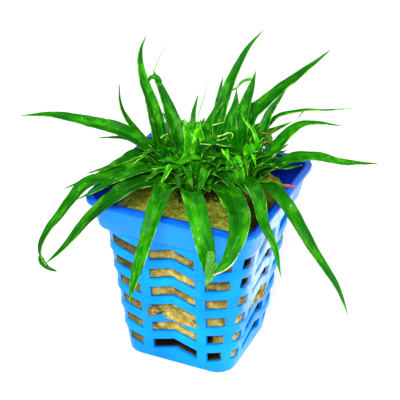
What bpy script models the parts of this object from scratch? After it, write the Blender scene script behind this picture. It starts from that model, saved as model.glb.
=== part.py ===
"""Potted pipewort: a slotted square basket, a rock wool plug, three crowns and their leaves.

Metres, +Z up. The origin is the centre of the pot's base, where it rests. Sizes are in millimetres
and are multiplied by MM where a mesh is made. The front of the pot faces -Y.
"""

from math import cos, pi, radians, sin

import bmesh
import bpy
from mathutils import Matrix, Vector
from mathutils.geometry import interpolate_bezier

MM = 0.001

# Gap between touching pieces
GAP = 0.35

# Pot
POT_HEIGHT = 60.0
BASE_HALF = 18.5
BASE_CHAMFER = 0.6
WALL_SLOPE = 0.115
WALL = 1.2
FLOOR = 1.4
CORNER = 6.0
BODY_TOP = 47.6
COLLAR_FOOT = 50.0
COLLAR_FOOT_HALF = 26.2
COLLAR_HALF = 27.9
LIP_HALF = 29.0
LIP_THICK = 1.2
MOUTH_HALF = 26.8
CORNER_STEPS = 4

# Slots in the pot's walls
SLOT_ROWS = 6
FIRST_SLOT = 4.0
ROW_PITCH = 7.25
SLOT_HEIGHT = 4.0
CHEVRON_HALF = 7.8
CHEVRON_RISE = 2.6
BAR = 3.4
POST = 3.3

# Drain holes in the floor
DRAIN_COUNT = 8
DRAIN_RADIUS = 1.8
DRAIN_CIRCLE = 12.0
DRAIN_SIDES = 12

# Rock wool
WOOL_TOP = 54.5
WOOL_LEAN = Vector((-1.5, -1.5))

# Crowns: where each tuft stands on the wool, and its half outline as radius and height
CROWN_CENTRES = {"left": (-13.0, 5.0), "middle": (-1.0, -2.0), "right": (10.0, 9.0)}
CROWN_PROFILE = ((0.0, 12.0), (3.0, 11.0), (5.2, 8.5), (6.0, 5.0), (5.4, 2.0), (4.2, 0.0), (0.0, 0.0))
CROWN_SIDES = 14

# Heights on a crown at which its lower, middle and upper leaves grow
TIER_HEIGHTS = (3.0, 6.0, 9.0)

# Leaf blades
ROOT_CLEARANCE = 1.15
BLADE_STEPS = 9
MIDRIB_THICK = 0.5
ROOT_SHARE = 0.6
WIDEST_AT = 0.3
TIP_HALF = 0.12
TIP_THICK_SHARE = 0.3
FOLD = 0.35

# Leaves of each tuft: tier and bearing of the root on its crown, width, roll, how blunt the tip is,
# then points on the midrib from the crown to the tip
LEAVES = {
    "left": (
        (2, 203, 6.0, -20, 2.2, (-27, -1, 71), (-39, -3, 73), (-52, -5, 74), (-61, -7.5, 73)),
        (1, 188, 3.0, 0, 2.2, (-26, 2, 67), (-37, 0, 67)),
        (1, 165, 4.0, 0, 2.2, (-26, 4, 70), (-30.7, 4, 77), (-31.7, 5, 85)),
        (2, 152, 5.0, 0, 2.2, (-22, 9, 78), (-26, 10, 87), (-27, 11, 95), (-25.5, 12, 100)),
        (0, 244, 6.8, 0, 2.2, (-20, -8, 61.5), (-25, -18, 62.5), (-29, -23, 62), (-32, -27, 58),
         (-35.2, -29.5, 53), (-38.8, -31.5, 47.5), (-41, -33, 41), (-40.3, -32, 36), (-38.5, -28, 31)),
        (1, 262, 5.5, 0, 2.2, (-17, -12, 64), (-20.5, -20, 64.3), (-24, -27, 63.5), (-28, -32, 62)),
        (1, 215, 4.0, 0, 2.2, (-22, -4, 64), (-27, -10, 63), (-34, -14, 61)),
        (0, 206, 4.5, 0, 2.2, (-23, -4, 60), (-29, -15, 61.6), (-38, -22, 58.5)),
        (1, 100, 6.0, 0, 2.2, (-14.5, 18, 65), (-17, 31, 62), (-19, 41, 52), (-21, 47, 38)),
        (0, 125, 5.5, 0, 2.2, (-19.5, 16, 63), (-23, 25, 62), (-27, 33.5, 59), (-31, 39, 48),
         (-33.5, 42, 37)),
    ),
    "middle": (
        (2, 155, 6.5, 0, 2.2, (-14, 6, 77), (-18, 8, 84), (-22, 10, 90)),
        (2, 115, 2.5, 0, 2.2, (-6, 6, 78), (-6.4, 11, 84.5)),
        (2, 72, 4.8, 8, 2.2, (1, 11, 76), (1.5, 18, 86), (2.5, 23, 91.5), (4.6, 26, 97), (8, 29, 102)),
        (0, 303, 6.2, 0, 8.0, (2.4, -14, 62.5), (10.4, -29.2, 66), (14.6, -33.2, 60), (17.4, -35, 52),
         (17.8, -34.8, 45.3)),
        (0, 256, 6.6, -3, 2.4, (-5, -16, 63.5), (-2, -28, 65), (-2, -35, 59), (-4, -40, 45), (-6, -41, 36)),
        (1, 215, 7.5, 0, 2.2, (-14, -17, 62.5), (-16.5, -30, 63.5), (-21, -39, 59.3), (-25, -46, 53.5),
         (-30, -49, 48)),
        (1, 322, 8.3, 0, 3.0, (11, -9.5, 62.8), (19.4, -20.2, 64), (24.2, -28.6, 63.7), (24.2, -34.8, 57.5),
         (22.5, -37, 54), (19, -37, 50)),
        (1, 92, 5.5, 0, 2.2, (-3, 12, 66), (-5, 26, 67), (-6, 40, 60), (-7, 48, 44)),
    ),
    "right": (
        (2, 152, 4.0, 0, 2.2, (-1, 17, 70), (-3.6, 21, 75), (-4.6, 27, 84.2)),
        (2, 112, 5.5, 0, 2.2, (7, 16, 76), (8, 21, 86), (8, 24, 90)),
        (2, 74, 6.5, 0, 2.2, (9, 19, 75), (12, 23, 79), (19, 32, 86), (27, 41, 94)),
        (2, 33, 4.8, 0, 2.2, (15, 16.5, 75.2), (15.6, 19, 78.8), (16.9, 21.4, 82), (18.6, 24, 85.5)),
        (1, 55, 2.5, 0, 2.2, (15.8, 20, 75), (22, 27, 76.8), (30, 35, 75.6), (36, 42, 74.6)),
        (1, 18, 6.0, 0, 2.2, (19, 14, 67), (24, 24, 73), (29, 29, 73), (35, 33, 72)),
        (2, 350, 5.0, 0, 2.2, (19, 9, 67), (24, 13, 72)),
        (0, 10, 7.5, 0, 2.2, (21, 12, 63.3), (30, 17, 65.8), (41, 21, 64.9), (51.2, 22, 66.9)),
        (0, 325, 6.0, 0, 2.2, (21, 2, 61.3), (28, -4.3, 61.7), (33.1, -6.2, 57.4), (40.7, -7, 47.4),
         (49.8, -7.8, 37), (54, -7, 27)),
        (1, 292, 5.5, 0, 2.2, (18, -6, 66), (26, -18, 67.5), (31, -26, 64.5), (35, -28, 60), (38.4, -29, 50)),
        (1, 98, 6.0, 0, 2.2, (8, 24, 66), (7, 34, 63.5), (7, 43, 52.5), (7.5, 50, 38)),
    ),
}


def clear_scene():
    """Remove whatever the scene holds."""
    for obj in list(bpy.data.objects):
        bpy.data.objects.remove(obj)


def new_collection(name):
    """A collection of the scene for one kind of object."""
    made = bpy.data.collections.new(name)
    bpy.context.scene.collection.children.link(made)
    return made


def material(name, color, roughness):
    """A plain material with the colour and gloss of one sub-part."""
    made = bpy.data.materials.new(name)
    made.use_nodes = True
    shader = made.node_tree.nodes["Principled BSDF"]
    shader.inputs["Base Color"].default_value = (*color, 1.0)
    shader.inputs["Roughness"].default_value = roughness
    shader.inputs["Metallic"].default_value = 0.0
    return made


def add_object(name, data, where, look=None):
    """Put a mesh or curve in a collection as a named object."""
    if look:
        data.materials.append(look)
    obj = bpy.data.objects.new(name, data)
    where.objects.link(obj)
    return obj


def mesh_from(name, bm):
    """A mesh in metres from a bmesh in millimetres, with its faces pointing out."""
    if bm.calc_volume(signed=True) < 0:
        bmesh.ops.reverse_faces(bm, faces=bm.faces)
    bmesh.ops.scale(bm, vec=Vector((MM, MM, MM)), verts=bm.verts)
    mesh = bpy.data.meshes.new(name)
    bm.to_mesh(mesh)
    bm.free()
    return mesh


def loft(rings):
    """A closed bmesh through rings of equal point counts, capped at both ends."""
    bm = bmesh.new()
    loops = [[bm.verts.new(point) for point in ring] for ring in rings]
    for low, high in zip(loops, loops[1:]):
        for index, corner in enumerate(low):
            after = (index + 1) % len(low)
            bm.faces.new((corner, low[after], high[after], high[index]))
    bm.faces.new(list(reversed(loops[0])))
    bm.faces.new(loops[-1])
    return bm


def rounded_square(half, radius, z, centre=(0.0, 0.0)):
    """Points round a square with round corners, at one height."""
    points = []
    for quarter in range(4):
        middle = radians(45 + 90 * quarter)
        reach = (half - radius) * 2 ** 0.5
        hub = Vector((cos(middle), sin(middle))) * reach
        for step in range(CORNER_STEPS + 1):
            turn = middle + radians(90 * (step / CORNER_STEPS - 0.5))
            spot = hub + radius * Vector((cos(turn), sin(turn)))
            points.append(Vector((centre[0] + spot.x, centre[1] + spot.y, z)))
    return points


def body_half(z):
    """Half the pot's outer width at a height on its tapered body."""
    return BASE_HALF + WALL_SLOPE * z


def pot_wall():
    """The pot as one solid cup: outer wall up, over the lip, inner wall down."""
    lip_foot = POT_HEIGHT - LIP_THICK
    stations = (
        (body_half(0) - BASE_CHAMFER, CORNER - BASE_CHAMFER, 0.0),
        (body_half(BASE_CHAMFER), CORNER, BASE_CHAMFER),
        (body_half(BODY_TOP), CORNER, BODY_TOP),
        (COLLAR_FOOT_HALF, CORNER, COLLAR_FOOT),
        (COLLAR_HALF, CORNER, lip_foot),
        (LIP_HALF, CORNER, lip_foot),
        (LIP_HALF, CORNER, POT_HEIGHT),
        (MOUTH_HALF, CORNER - WALL, POT_HEIGHT),
        (COLLAR_FOOT_HALF - WALL, CORNER - WALL, COLLAR_FOOT + WALL / 2),
        (body_half(BODY_TOP) - WALL, CORNER - WALL, BODY_TOP + WALL / 2),
        (body_half(FLOOR) - WALL, CORNER - WALL, FLOOR),
    )
    return loft([rounded_square(half, radius, z) for half, radius, z in stations])


def slot_outlines():
    """Outlines of the slots of one face, in the face's own across and up."""
    outlines = []
    slope = CHEVRON_RISE / CHEVRON_HALF
    inner = CHEVRON_HALF + BAR
    for row in range(SLOT_ROWS):
        low = FIRST_SLOT + row * ROW_PITCH
        high = low + SLOT_HEIGHT
        peak = Vector((0, CHEVRON_RISE))
        foot = Vector((CHEVRON_HALF, 0))
        across = ((-foot.x, low), (0, low + peak.y), (foot.x, low), (foot.x, high), (0, high + peak.y))
        outlines.append(across + ((-foot.x, high),))
        outer = body_half(low + SLOT_HEIGHT) - POST
        rise = slope * (outer - inner)
        right = ((inner, low), (outer, low + rise), (outer, high + rise), (inner, high))
        outlines.append(right)
        outlines.append(tuple((-u, z) for u, z in reversed(right)))
    return outlines


def slot_cutter(name, turn, where):
    """Prisms through two opposite walls, from the outlines as a flat filled curve."""
    curve = bpy.data.curves.new(name, "CURVE")
    curve.dimensions = "2D"
    curve.fill_mode = "BOTH"
    curve.extrude = LIP_HALF * MM
    for outline in slot_outlines():
        spline = curve.splines.new("POLY")
        spline.points.add(len(outline) - 1)
        spline.use_cyclic_u = True
        for point, (u, z) in zip(spline.points, outline):
            point.co = (u * MM, z * MM, 0, 1)
    flat = add_object(name, curve, where)
    flat.matrix_world = Matrix.Rotation(turn, 4, "Z") @ Matrix.Rotation(pi / 2, 4, "X")
    bpy.context.view_layer.update()
    mesh = bpy.data.meshes.new_from_object(flat.evaluated_get(bpy.context.evaluated_depsgraph_get()))
    bm = bmesh.new()
    bm.from_mesh(mesh)
    bmesh.ops.remove_doubles(bm, verts=bm.verts, dist=0.00001)
    bmesh.ops.recalc_face_normals(bm, faces=bm.faces)
    bm.to_mesh(mesh)
    bm.free()
    cutter = add_object(name + "_solid", mesh, where)
    cutter.matrix_world = flat.matrix_world.copy()
    bpy.data.objects.remove(flat)
    return as_cutter(cutter)


def drain_cutter(where):
    """Upright cylinders on a circle, one for each drain hole."""
    bm = bmesh.new()
    for index in range(DRAIN_COUNT):
        turn = 2 * pi * (index + 0.5) / DRAIN_COUNT
        place = Matrix.Translation((DRAIN_CIRCLE * cos(turn), DRAIN_CIRCLE * sin(turn), FLOOR / 2))
        bmesh.ops.create_cone(bm, cap_ends=True, segments=DRAIN_SIDES, radius1=DRAIN_RADIUS,
                              radius2=DRAIN_RADIUS, depth=3 * FLOOR, matrix=place)
    return as_cutter(add_object("drain_cutter", mesh_from("drain_cutter", bm), where))


def as_cutter(obj):
    """Show an object as a cutter that is no part of the model."""
    obj.hide_render = True
    obj.display_type = "WIRE"
    return obj


def cut(obj, cutter):
    """Subtract a cutter from an object."""
    modifier = obj.modifiers.new(cutter.name, "BOOLEAN")
    modifier.operation = "DIFFERENCE"
    modifier.solver = "EXACT"
    modifier.object = cutter


def make_pot(where, cutters):
    """The slotted basket: one moulded piece."""
    look = material("pot_plastic", (0.0, 0.32, 0.95), 0.25)
    pot = add_object("pot", mesh_from("pot", pot_wall()), where, look)
    cut(pot, slot_cutter("front_and_back_slots", 0.0, cutters))
    cut(pot, slot_cutter("side_slots", pi / 2, cutters))
    cut(pot, drain_cutter(cutters))


def make_wool(where):
    """The rock wool plug, which fills the pot and rounds off under the plant."""
    look = material("rock_wool", (0.45, 0.33, 0.08), 0.95)
    inset = WALL + GAP
    foot = FLOOR + GAP
    shoulder = BODY_TOP - GAP
    stations = (
        (body_half(foot) - inset - 1.5, foot, 0.0),
        (body_half(foot + 2) - inset, foot + 2, 0.0),
        (body_half(shoulder) - inset, shoulder, 0.0),
        (21.8, WOOL_TOP - 3.0, 0.6),
        (19.6, WOOL_TOP - 0.9, 1.0),
        (16.5, WOOL_TOP, 1.0),
    )
    rings = [rounded_square(half, CORNER, z, WOOL_LEAN * lean) for half, z, lean in stations]
    add_object("wool_plug", mesh_from("wool_plug", loft(rings)), where, look)


def make_crown(name, centre, where, look):
    """One crown: a short turned stem that stands on the wool."""
    bm = bmesh.new()
    corners = [bm.verts.new((radius * MM, 0, height * MM)) for radius, height in CROWN_PROFILE]
    for first, second in zip(corners, corners[1:]):
        bm.edges.new((first, second))
    mesh = bpy.data.meshes.new(name)
    bm.to_mesh(mesh)
    bm.free()
    crown = add_object(name, mesh, where, look)
    crown.location = (centre[0] * MM, centre[1] * MM, (WOOL_TOP + GAP) * MM)
    screw = crown.modifiers.new("turn", "SCREW")
    screw.steps = CROWN_SIDES
    screw.render_steps = CROWN_SIDES
    screw.use_merge_vertices = True
    screw.merge_threshold = 0.00001
    return crown


def crown_radius(height):
    """The crown's radius at a height above its foot."""
    for (above_r, above_z), (below_r, below_z) in zip(CROWN_PROFILE, CROWN_PROFILE[1:]):
        if below_z <= height <= above_z and above_z > below_z:
            share = (height - below_z) / (above_z - below_z)
            return below_r + share * (above_r - below_r)
    return 0.0


def leaf_root(centre, tier, bearing):
    """Where a leaf leaves its crown, just clear of it, at a tier and a bearing."""
    height = TIER_HEIGHTS[tier]
    reach = crown_radius(height) + ROOT_CLEARANCE
    out = Vector((cos(radians(bearing)), sin(radians(bearing)))) * reach
    return Vector((centre[0] + out.x, centre[1] + out.y, WOOL_TOP + GAP + height))


def smooth_path(knots, count):
    """Evenly spaced points on a smooth curve through the knots."""
    tangents = []
    for index in range(len(knots)):
        before = knots[max(index - 1, 0)]
        after = knots[min(index + 1, len(knots) - 1)]
        tangents.append((after - before).normalized())
    dense = []
    for index in range(len(knots) - 1):
        start, end = knots[index], knots[index + 1]
        arm = (end - start).length / 3
        handles = (start + tangents[index] * arm, end - tangents[index + 1] * arm)
        dense += interpolate_bezier(start, *handles, end, 24)[:-1]
    dense.append(knots[-1])
    lengths = [0.0]
    for first, second in zip(dense, dense[1:]):
        lengths.append(lengths[-1] + (second - first).length)
    points = []
    place = 0
    for step in range(count + 1):
        target = lengths[-1] * step / count
        while place < len(dense) - 2 and lengths[place + 1] < target:
            place += 1
        share = (target - lengths[place]) / (lengths[place + 1] - lengths[place])
        points.append(dense[place].lerp(dense[place + 1], share))
    return points


def blade_share(t, blunt):
    """Width of a blade at a share of its length, as a share of its full width."""
    swell = ROOT_SHARE + (1 - ROOT_SHARE) * sin(pi / 2 * min(1.0, t / WIDEST_AT))
    return swell * (1 - t ** blunt)


def blade_rings(path, width, roll, blunt):
    """Folded, pointed sections along a midrib: edge, top of midrib, edge, underside."""
    chord = path[-1] - path[0]
    level_side = Vector((-chord.y, chord.x, 0)).normalized()
    rings = []
    for step, spot in enumerate(path):
        t = step / (len(path) - 1)
        ahead = (path[min(step + 1, len(path) - 1)] - path[max(step - 1, 0)]).normalized()
        side = (level_side - ahead * level_side.dot(ahead)).normalized()
        side.rotate(Matrix.Rotation(radians(roll), 3, ahead))
        face = ahead.cross(side)
        share = blade_share(t, blunt)
        half = max(width / 2 * share, TIP_HALF)
        lift = face * half * FOLD * sin(pi * t) ** 0.5
        thick = face * MIDRIB_THICK / 2 * max(share, TIP_THICK_SHARE)
        rings.append((spot + side * half + lift, spot + thick, spot - side * half + lift, spot - thick))
    return rings


def make_leaf(name, centre, leaf, where, look):
    """One leaf: a thin folded blade along its own arching midrib."""
    tier, bearing, width, roll, blunt, *spots = leaf
    knots = [leaf_root(centre, tier, bearing)] + [Vector(spot) for spot in spots]
    path = smooth_path(knots, BLADE_STEPS)
    add_object(name, mesh_from(name, loft(blade_rings(path, width, roll, blunt))), where, look)


def make_plant(where):
    """The three tufts: each a crown with its leaves."""
    stem_look = material("crown_fibre", (0.07, 0.04, 0.02), 0.9)
    leaf_look = material("leaf_green", (0.03, 0.3, 0.0), 0.35)
    for tuft, centre in CROWN_CENTRES.items():
        make_crown(tuft + "_crown", centre, where, stem_look)
        for number, leaf in enumerate(LEAVES[tuft], start=1):
            make_leaf(f"{tuft}_leaf_{number}", centre, leaf, where, leaf_look)


def main():
    """Build the potted pipewort."""
    clear_scene()
    part = new_collection("potted_pipewort")
    cutters = new_collection("cutters")
    make_pot(part, cutters)
    make_wool(part)
    make_plant(part)


main()
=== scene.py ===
# %% [markdown]
# # A potted pipewort, dressed for the camera
#
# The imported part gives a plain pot, a plug of rock wool, three crowns and one thin blade for every leaf.
# This lesson loads it as a fixed frame and gives each piece the shape and finish of the real thing.
# Everything is in metres, with +Z up and the origin under the middle of the pot.

# %% Load the frame
from math import atan2, cos, degrees, pi, radians, sin
from random import Random

import bmesh
import bpy
from mathutils import Matrix, Vector, noise


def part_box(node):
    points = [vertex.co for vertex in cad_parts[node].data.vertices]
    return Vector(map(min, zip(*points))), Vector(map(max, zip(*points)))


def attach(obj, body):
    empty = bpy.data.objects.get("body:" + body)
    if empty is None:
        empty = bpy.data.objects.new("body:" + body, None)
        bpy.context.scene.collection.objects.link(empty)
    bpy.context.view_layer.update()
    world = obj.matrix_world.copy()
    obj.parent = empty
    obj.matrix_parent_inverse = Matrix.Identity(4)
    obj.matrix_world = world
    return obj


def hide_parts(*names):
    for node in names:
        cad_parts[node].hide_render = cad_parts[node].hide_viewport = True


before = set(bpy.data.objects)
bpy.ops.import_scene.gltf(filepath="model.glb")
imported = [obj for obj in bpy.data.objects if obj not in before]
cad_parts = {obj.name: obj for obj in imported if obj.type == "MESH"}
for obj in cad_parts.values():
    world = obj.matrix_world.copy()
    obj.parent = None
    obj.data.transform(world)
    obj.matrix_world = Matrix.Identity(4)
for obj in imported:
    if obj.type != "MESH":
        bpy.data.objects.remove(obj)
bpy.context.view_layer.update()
MM = 0.001

# %% [markdown]
# ## Camera, floor and light
#
# The camera stands where the photographer stood: to the right of the pot's front and well above it. A long
# lens keeps the pot's sides nearly parallel. The camera is tipped up a little, which puts the pot low in the
# picture without any lens shift.

# %% Camera
TARGET = Vector((0, 0, 35 * MM))
CAMERA_AZIMUTH = radians(22.5)
CAMERA_ELEVATION = radians(31.1)
CAMERA_DISTANCE = 450 * MM
CAMERA_ROLL = radians(1.45)
CAMERA_TIP = radians(1.93)

camera = bpy.data.objects.new("camera", bpy.data.cameras.new("camera"))
bpy.context.scene.collection.objects.link(camera)
back = Vector((
    sin(CAMERA_AZIMUTH) * cos(CAMERA_ELEVATION),
    -cos(CAMERA_AZIMUTH) * cos(CAMERA_ELEVATION),
    sin(CAMERA_ELEVATION),
))
aim = (-back).to_track_quat("-Z", "Y").to_matrix().to_4x4()
turn = Matrix.Rotation(CAMERA_ROLL, 4, "Z") @ Matrix.Rotation(CAMERA_TIP, 4, "X")
camera.matrix_world = Matrix.Translation(TARGET + back * CAMERA_DISTANCE) @ aim @ turn
camera.data.lens = 123.0
bpy.context.scene.camera = camera
print("camera at", [round(value, 3) for value in camera.location])

# %% [markdown]
# A white floor and a white sky light the plant from everywhere, as in a photographer's light tent. One large
# soft lamp above the left shoulder of the camera gives the leaves their direction of light, and a tall panel
# on the right lights that side of the pot. The pale streak of gloss down the pot's right side is a painted
# highlight in the pot's plastic.

# %% Floor, sky and lamps
def link(name, data):
    """An object of the scene that holds this data."""
    made = bpy.data.objects.new(name, data)
    bpy.context.scene.collection.objects.link(made)
    return made


def lamp(name, place, size, power):
    """A square soft lamp that looks at the plant."""
    light = bpy.data.lights.new(name, "AREA")
    light.size = size
    light.energy = power
    made = link(name, light)
    made.location = place
    made.rotation_euler = (TARGET - Vector(place)).to_track_quat("-Z", "Y").to_euler()
    return made


floor_mesh = bpy.data.meshes.new("floor")
reach = 3.0
floor_mesh.from_pydata(
    [(-reach, -reach, 0), (reach, -reach, 0), (reach, reach, 0), (-reach, reach, 0)], [], [(0, 1, 2, 3)]
)
floor = link("floor", floor_mesh)
paper = bpy.data.materials.new("white floor")
paper.use_nodes = True
paper.node_tree.nodes["Principled BSDF"].inputs["Base Color"].default_value = (0.9, 0.9, 0.9, 1)
paper.node_tree.nodes["Principled BSDF"].inputs["Roughness"].default_value = 0.8
floor_mesh.materials.append(paper)

sky = bpy.data.worlds.new("white sky")
sky.use_nodes = True
sky.node_tree.nodes["Background"].inputs["Color"].default_value = (1, 1, 1, 1)
sky.node_tree.nodes["Background"].inputs["Strength"].default_value = 0.8
bpy.context.scene.world = sky
bpy.context.scene.view_settings.view_transform = "Standard"
lamp("key_lamp", (0.12, -0.55, 0.5), 0.3, 7.0)
lamp("side_panel", (0.4, 0.1, 0.16), 0.15, 1.35)
print("floor, sky and two lamps stand")

# %% [markdown]
# ## Small helpers
#
# Node trees are written below as short sums, so two helpers add a node and feed its first sockets in order.
# A third turns the result of a modifier into a plain mesh, which is what the frame wants.

# %% Helpers for node trees
def put(tree, kind, *feeds, **settings):
    """A node whose first sockets are fed, in order, by sockets or by plain values."""
    made = tree.nodes.new(kind)
    for key, value in settings.items():
        setattr(made, key, value)
    for socket, feed in zip(made.inputs, feeds):
        if isinstance(feed, bpy.types.NodeSocket):
            tree.links.new(feed, socket)
        elif feed is not None:
            socket.default_value = feed
    return made


def calc(tree, operation, *feeds):
    """A number worked out from numbers."""
    return put(tree, "ShaderNodeMath", *feeds, operation=operation).outputs[0]


def vector(tree, operation, *feeds):
    """A vector worked out from vectors."""
    return put(tree, "ShaderNodeVectorMath", *feeds, operation=operation).outputs["Vector"]


def scaled(tree, direction, length):
    """A vector made longer or shorter."""
    made = put(tree, "ShaderNodeVectorMath", direction, operation="SCALE")
    tree.links.new(length, made.inputs["Scale"])
    return made.outputs["Vector"]


def open_tree(name, sockets):
    """An empty geometry tree with named inputs, as (tree, input node, output node)."""
    tree = bpy.data.node_groups.new(name, "GeometryNodeTree")
    for label, kind in sockets:
        tree.interface.new_socket(label, in_out="INPUT", socket_type="NodeSocket" + kind)
    tree.interface.new_socket("Geometry", in_out="OUTPUT", socket_type="NodeSocketGeometry")
    return tree, tree.nodes.new("NodeGroupInput").outputs, tree.nodes.new("NodeGroupOutput")


def close_tree(tree, exit_node, geometry, look):
    """End a tree: real geometry, smooth, with its material."""
    real = put(tree, "GeometryNodeRealizeInstances", geometry).outputs[0]
    smooth = put(tree, "GeometryNodeSetShadeSmooth", real).outputs[0]
    dressed = put(tree, "GeometryNodeSetMaterial", smooth, None, look).outputs[0]
    tree.links.new(dressed, exit_node.inputs[0])


def baked(obj, tree, values, name, thickness=0.0):
    """Run a tree on an object and keep the result as a plain mesh object of that name."""
    modifier = obj.modifiers.new("tree", "NODES")
    modifier.node_group = tree
    sockets = {item.name: item.identifier for item in tree.interface.items_tree if item.in_out == "INPUT"}
    for label, value in values.items():
        modifier[sockets[label]] = value
    if thickness:
        wall = obj.modifiers.new("thickness", "SOLIDIFY")
        wall.thickness = thickness
        wall.offset = 0.0
    ready = obj.evaluated_get(bpy.context.evaluated_depsgraph_get())
    mesh = bpy.data.meshes.new_from_object(ready)
    bpy.data.objects.remove(obj)
    made = link(name, mesh)
    return made


def blank_material(name):
    """A material with its tree, its shader and its object coordinates."""
    made = bpy.data.materials.new(name)
    made.use_nodes = True
    tree = made.node_tree
    place = tree.nodes.new("ShaderNodeTexCoord").outputs["Object"]
    return made, tree, tree.nodes["Principled BSDF"], place


def ramp(tree, factor, *stops):
    """A colour ramp through (position, colour) stops."""
    made = put(tree, "ShaderNodeValToRGB", factor)
    stretch = made.color_ramp.elements
    while len(stretch) < len(stops):
        stretch.new(0.5)
    for element, (position, colour) in zip(stretch, stops):
        element.position = position
        element.color = (*colour, 1)
    return made.outputs["Color"]


def blend_colours(tree, factor, first, second, kind="MIX"):
    """Two colours mixed by a factor."""
    made = tree.nodes.new("ShaderNodeMix")
    made.data_type = "RGBA"
    made.blend_type = kind
    for socket, feed in (("Factor_Float", factor), ("A_Color", first), ("B_Color", second)):
        target = next(item for item in made.inputs if item.identifier == socket)
        if isinstance(feed, bpy.types.NodeSocket):
            tree.links.new(feed, target)
        else:
            target.default_value = feed if socket == "Factor_Float" else (*feed, 1)
    return next(item for item in made.outputs if item.identifier == "Result_Color")


print("helpers ready")

# %% [markdown]
# ## Leaf skin
#
# A pipewort leaf is a thin green strap with fine veins that run from root to tip and a wet gloss; its pale
# edges and pale flecks are painted highlights. The blade carries a UV map, across in U and along in V, so
# veins and edge follow every bend. A number stored on each blade, its tone, makes some leaves fresher and
# some older.

# %% Leaf material
def leaf_skin():
    """Wet green leaf: long veins, painted highlights on the edges and in flecks, blotches, a pale foot and a
    dry tip.
    """
    made, tree, shader, place = blank_material("leaf skin")
    chart = put(tree, "ShaderNodeUVMap", uv_map="UVMap").outputs[0]
    split = put(tree, "ShaderNodeSeparateXYZ", chart).outputs
    across, along = split[0], split[1]
    tone = put(tree, "ShaderNodeAttribute", attribute_name="tone").outputs["Fac"]
    shifted = calc(tree, "MULTIPLY", tone, 37.0)
    fine = put(tree, "ShaderNodeCombineXYZ", calc(tree, "MULTIPLY", across, 26.0),
               calc(tree, "MULTIPLY", along, 2.5), shifted).outputs[0]
    veins = put(tree, "ShaderNodeTexNoise", fine, None, 1.0, 4.0, 0.65).outputs["Fac"]
    broad = put(tree, "ShaderNodeCombineXYZ", calc(tree, "MULTIPLY", across, 1.6),
                calc(tree, "MULTIPLY", along, 6.0), shifted).outputs[0]
    blotch = put(tree, "ShaderNodeTexNoise", broad, None, 1.0, 5.0, 0.6).outputs["Fac"]
    green = ramp(tree, veins, (0.38, (0.002, 0.045, 0.0)), (0.5, (0.004, 0.15, 0.0)),
                 (0.62, (0.015, 0.34, 0.0)))
    fresh = ramp(tree, blotch, (0.43, (0.002, 0.07, 0.0)), (0.52, (0.006, 0.18, 0.0)),
                 (0.64, (0.08, 0.48, 0.002)))
    skin = blend_colours(tree, 0.45, green, fresh)
    toned = ramp(tree, tone, (0.0, (0.4, 0.42, 0.4)), (0.5, (1.0, 1.0, 0.9)), (1.0, (5.0, 2.2, 3.0)))
    skin = blend_colours(tree, 1.0, skin, toned, "MULTIPLY")
    film = put(tree, "ShaderNodeMapRange", tone, 1.0, 2.2).outputs[0]
    skin = blend_colours(tree, film, skin, (0.055, 0.2, 0.035))
    foot = ramp(tree, along, (0.0, (1, 1, 1)), (0.16, (0, 0, 0)))
    skin = blend_colours(tree, calc(tree, "MULTIPLY", foot, 0.25), skin, (0.06, 0.24, 0.003))
    edge = calc(tree, "ABSOLUTE", calc(tree, "SUBTRACT", across, 0.5))
    midrib = ramp(tree, edge, (0.0, (1, 1, 1)), (0.035, (0, 0, 0)))
    skin = blend_colours(tree, calc(tree, "MULTIPLY", midrib, 0.5), skin, (0.002, 0.05, 0.0))
    patchy = ramp(tree, blotch, (0.5, (0.06,) * 3), (0.62, (1, 1, 1)))
    # Painted highlight: pale lines along the leaf edges, in patches
    edge_highlight = ramp(tree, edge, (0.472, (0, 0, 0)), (0.496, (1, 1, 1)))
    edge_highlight = calc(tree, "MULTIPLY", edge_highlight, patchy)
    skin = blend_colours(tree, calc(tree, "MULTIPLY", edge_highlight, 0.5), skin, (0.35, 0.75, 0.1))
    # Painted highlight: small pale glints on the wet leaf, in the same patches as the edge lines
    glint_place = put(tree, "ShaderNodeCombineXYZ", calc(tree, "MULTIPLY", across, 15.0),
                  calc(tree, "MULTIPLY", along, 32.0), shifted).outputs[0]
    glint_flecks = put(tree, "ShaderNodeTexNoise", glint_place, None, 1.0, 3.0, 0.6).outputs["Fac"]
    glint_flecks = calc(tree, "MULTIPLY", ramp(tree, glint_flecks, (0.62, (0, 0, 0)), (0.7, (1, 1, 1))), patchy)
    skin = blend_colours(tree, calc(tree, "MULTIPLY", glint_flecks, 0.7), skin, (0.4, 0.8, 0.22))
    dry = ramp(tree, along, (0.97, (0, 0, 0)), (1.0, (1, 1, 1)))
    skin = blend_colours(tree, calc(tree, "MULTIPLY", dry, 0.5), skin, (0.3, 0.32, 0.06))
    tree.links.new(skin, shader.inputs["Base Color"])
    tree.links.new(ramp(tree, veins, (0.3, (0.2,) * 3), (0.7, (0.36,) * 3)), shader.inputs["Roughness"])
    bump = put(tree, "ShaderNodeBump", 0.35, 0.0002)
    tree.links.new(veins, bump.inputs["Height"])
    tree.links.new(bump.outputs[0], shader.inputs["Normal"])
    shader.inputs["Specular IOR Level"].default_value = 0.05
    return made


LEAF_SKIN = leaf_skin()
print("leaf skin made")

# %% [markdown]
# ## The leaf tree
#
# Every leaf is the same rule on another spine, so one geometry tree makes them all. A flat grid is laid
# along the spine: its Y runs from root to tip and its X from edge to edge. The width swells from the root and
# runs out in a point, the edges stand up from the midrib in a shallow fold, and a little noise ripples them.

# %% Leaf tree
ROOT_SHARE = 0.6
WIDEST_AT = 0.3
BLADE_THICKNESS = 0.28 * MM


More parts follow.
